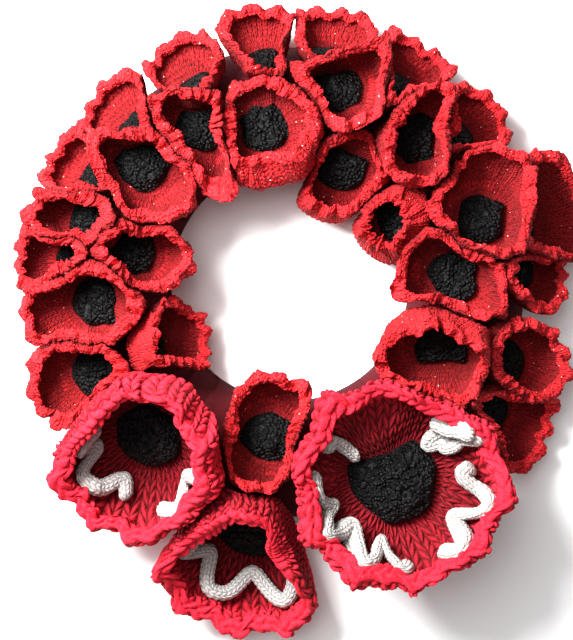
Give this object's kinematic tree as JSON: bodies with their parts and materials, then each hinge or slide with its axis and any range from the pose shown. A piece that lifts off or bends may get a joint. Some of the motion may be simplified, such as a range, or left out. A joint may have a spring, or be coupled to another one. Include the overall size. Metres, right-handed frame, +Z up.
{
  "type": "poppy wreath",
  "caption": "Remembrance wreath of knitted red poppies with black centres on a flat-backed red ring, with white knitted cord inside the chunky ones.",
  "frame": {"origin": "under the middle of the whole wreath, on the surface that it lies on", "axes": "+Z up out of the poppies' side, +Y towards the top of the wreath, away from the chunky poppies, +X to its right"},
  "size_m": [0.4434, 0.4882, 0.122],
  "materials": {
    "red_yarn": "knitted, with a fine glitter thread",
    "chunky_red_yarn": "chunky knitted",
    "black_yarn": "knitted",
    "white_cord": "knitted cord",
    "dark_red_felt": "wrapped felt"
  },
  "bodies": {
    "root": {"felt_ring": "dark_red_felt", "poppy_01": "red_yarn", "centre_01": "black_yarn", "poppy_02": "red_yarn", "centre_02": "black_yarn", "poppy_03": "red_yarn", "centre_03": "black_yarn", "poppy_04": "red_yarn", "centre_04": "black_yarn", "poppy_05": "red_yarn", "centre_05": "black_yarn", "poppy_06": "red_yarn", "centre_06": "black_yarn", "poppy_07": "red_yarn", "poppy_08": "red_yarn", "poppy_09": "red_yarn", "centre_09": "black_yarn", "poppy_10": "red_yarn", "centre_10": "black_yarn", "poppy_11": "red_yarn", "centre_11": "black_yarn", "poppy_12": "red_yarn", "centre_12": "black_yarn", "poppy_13": "red_yarn", "poppy_14": "red_yarn", "poppy_15": "red_yarn", "poppy_16": "red_yarn", "centre_16": "black_yarn", "poppy_17": "red_yarn", "poppy_18": "red_yarn", "centre_18": "black_yarn", "poppy_19": "red_yarn", "centre_19": "black_yarn", "poppy_20": "red_yarn", "poppy_21": "red_yarn", "poppy_22": "red_yarn", "centre_22": "black_yarn", "poppy_23": "red_yarn", "poppy_24": "red_yarn", "centre_24": "black_yarn", "poppy_25": "red_yarn", "centre_25": "black_yarn", "poppy_26": "red_yarn", "poppy_27": "red_yarn", "centre_27": "black_yarn", "poppy_28": "red_yarn", "centre_28": "black_yarn", "chunky_poppy_left": "chunky_red_yarn", "chunky_centre_left": "black_yarn", "chunky_poppy_middle": "chunky_red_yarn", "chunky_centre_middle": "black_yarn", "chunky_poppy_right": "chunky_red_yarn", "chunky_centre_right": "black_yarn", "white_waves_left_a": "white_cord", "white_waves_left_b": "white_cord", "white_waves_middle": "white_cord", "white_flower_right": "white_cord", "white_waves_right_a": "white_cord", "white_waves_right_b": "white_cord", "white_waves_right_c": "white_cord"}
  },
  "joints": []
}
